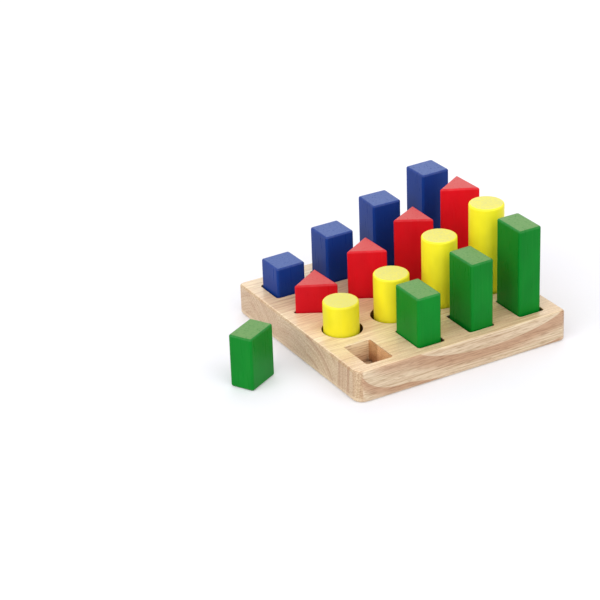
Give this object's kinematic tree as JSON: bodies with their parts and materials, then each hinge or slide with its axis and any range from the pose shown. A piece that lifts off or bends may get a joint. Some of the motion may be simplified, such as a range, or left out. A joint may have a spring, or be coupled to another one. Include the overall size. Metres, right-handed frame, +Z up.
{
  "type": "wooden shape sorter",
  "caption": "Wooden shape sorter: a thick socketed board with graded square, triangular, round and rectangular blocks that lift out, and one block standing beside it.",
  "frame": {"origin": "centre of the board's underside", "axes": "+X along the columns, from the shortest blocks to the longest; +Y across the rows, from the rectangles to the squares; +Z up"},
  "size_m": [0.2924, 0.2132, 0.113],
  "materials": {
    "board_wood": "pale rubberwood under clear satin lacquer",
    "green_paint": "green satin paint on wood",
    "yellow_paint": "yellow satin paint on wood",
    "red_paint": "red satin paint on wood",
    "blue_paint": "blue satin paint on wood"
  },
  "bodies": {
    "board": {"board_stave_1": "board_wood", "board_stave_2": "board_wood", "board_stave_3": "board_wood", "board_stave_4": "board_wood", "board_stave_5": "board_wood"},
    "green_rectangle_1": {"green_rectangle_1": "green_paint"},
    "green_rectangle_2": {"green_rectangle_2": "green_paint"},
    "green_rectangle_3": {"green_rectangle_3": "green_paint"},
    "green_rectangle_4": {"green_rectangle_4": "green_paint"},
    "yellow_cylinder_1": {"yellow_cylinder_1": "yellow_paint"},
    "yellow_cylinder_2": {"yellow_cylinder_2": "yellow_paint"},
    "yellow_cylinder_3": {"yellow_cylinder_3": "yellow_paint"},
    "yellow_cylinder_4": {"yellow_cylinder_4": "yellow_paint"},
    "red_triangle_1": {"red_triangle_1": "red_paint"},
    "red_triangle_2": {"red_triangle_2": "red_paint"},
    "red_triangle_3": {"red_triangle_3": "red_paint"},
    "red_triangle_4": {"red_triangle_4": "red_paint"},
    "blue_square_1": {"blue_square_1": "blue_paint"},
    "blue_square_2": {"blue_square_2": "blue_paint"},
    "blue_square_3": {"blue_square_3": "blue_paint"},
    "blue_square_4": {"blue_square_4": "blue_paint"}
  },
  "joints": [
    {"name": "green_rectangle_1_lift", "type": "slide", "parent": "board", "child": "green_rectangle_1", "axis": [0, 0, 1], "range_m": [0, 0.03]},
    {"name": "green_rectangle_2_lift", "type": "slide", "parent": "board", "child": "green_rectangle_2", "axis": [0, 0, 1], "range_m": [0, 0.03]},
    {"name": "green_rectangle_3_lift", "type": "slide", "parent": "board", "child": "green_rectangle_3", "axis": [0, 0, 1], "range_m": [0, 0.03]},
    {"name": "green_rectangle_4_lift", "type": "slide", "parent": "board", "child": "green_rectangle_4", "axis": [0, 0, 1], "range_m": [0, 0.03]},
    {"name": "yellow_cylinder_1_lift", "type": "slide", "parent": "board", "child": "yellow_cylinder_1", "axis": [0, 0, 1], "range_m": [0, 0.03]},
    {"name": "yellow_cylinder_2_lift", "type": "slide", "parent": "board", "child": "yellow_cylinder_2", "axis": [0, 0, 1], "range_m": [0, 0.03]},
    {"name": "yellow_cylinder_3_lift", "type": "slide", "parent": "board", "child": "yellow_cylinder_3", "axis": [0, 0, 1], "range_m": [0, 0.03]},
    {"name": "yellow_cylinder_4_lift", "type": "slide", "parent": "board", "child": "yellow_cylinder_4", "axis": [0, 0, 1], "range_m": [0, 0.03]},
    {"name": "red_triangle_1_lift", "type": "slide", "parent": "board", "child": "red_triangle_1", "axis": [0, 0, 1], "range_m": [0, 0.03]},
    {"name": "red_triangle_2_lift", "type": "slide", "parent": "board", "child": "red_triangle_2", "axis": [0, 0, 1], "range_m": [0, 0.03]},
    {"name": "red_triangle_3_lift", "type": "slide", "parent": "board", "child": "red_triangle_3", "axis": [0, 0, 1], "range_m": [0, 0.03]},
    {"name": "red_triangle_4_lift", "type": "slide", "parent": "board", "child": "red_triangle_4", "axis": [0, 0, 1], "range_m": [0, 0.03]},
    {"name": "blue_square_1_lift", "type": "slide", "parent": "board", "child": "blue_square_1", "axis": [0, 0, 1], "range_m": [0, 0.03]},
    {"name": "blue_square_2_lift", "type": "slide", "parent": "board", "child": "blue_square_2", "axis": [0, 0, 1], "range_m": [0, 0.03]},
    {"name": "blue_square_3_lift", "type": "slide", "parent": "board", "child": "blue_square_3", "axis": [0, 0, 1], "range_m": [0, 0.03]},
    {"name": "blue_square_4_lift", "type": "slide", "parent": "board", "child": "blue_square_4", "axis": [0, 0, 1], "range_m": [0, 0.03]}
  ]
}
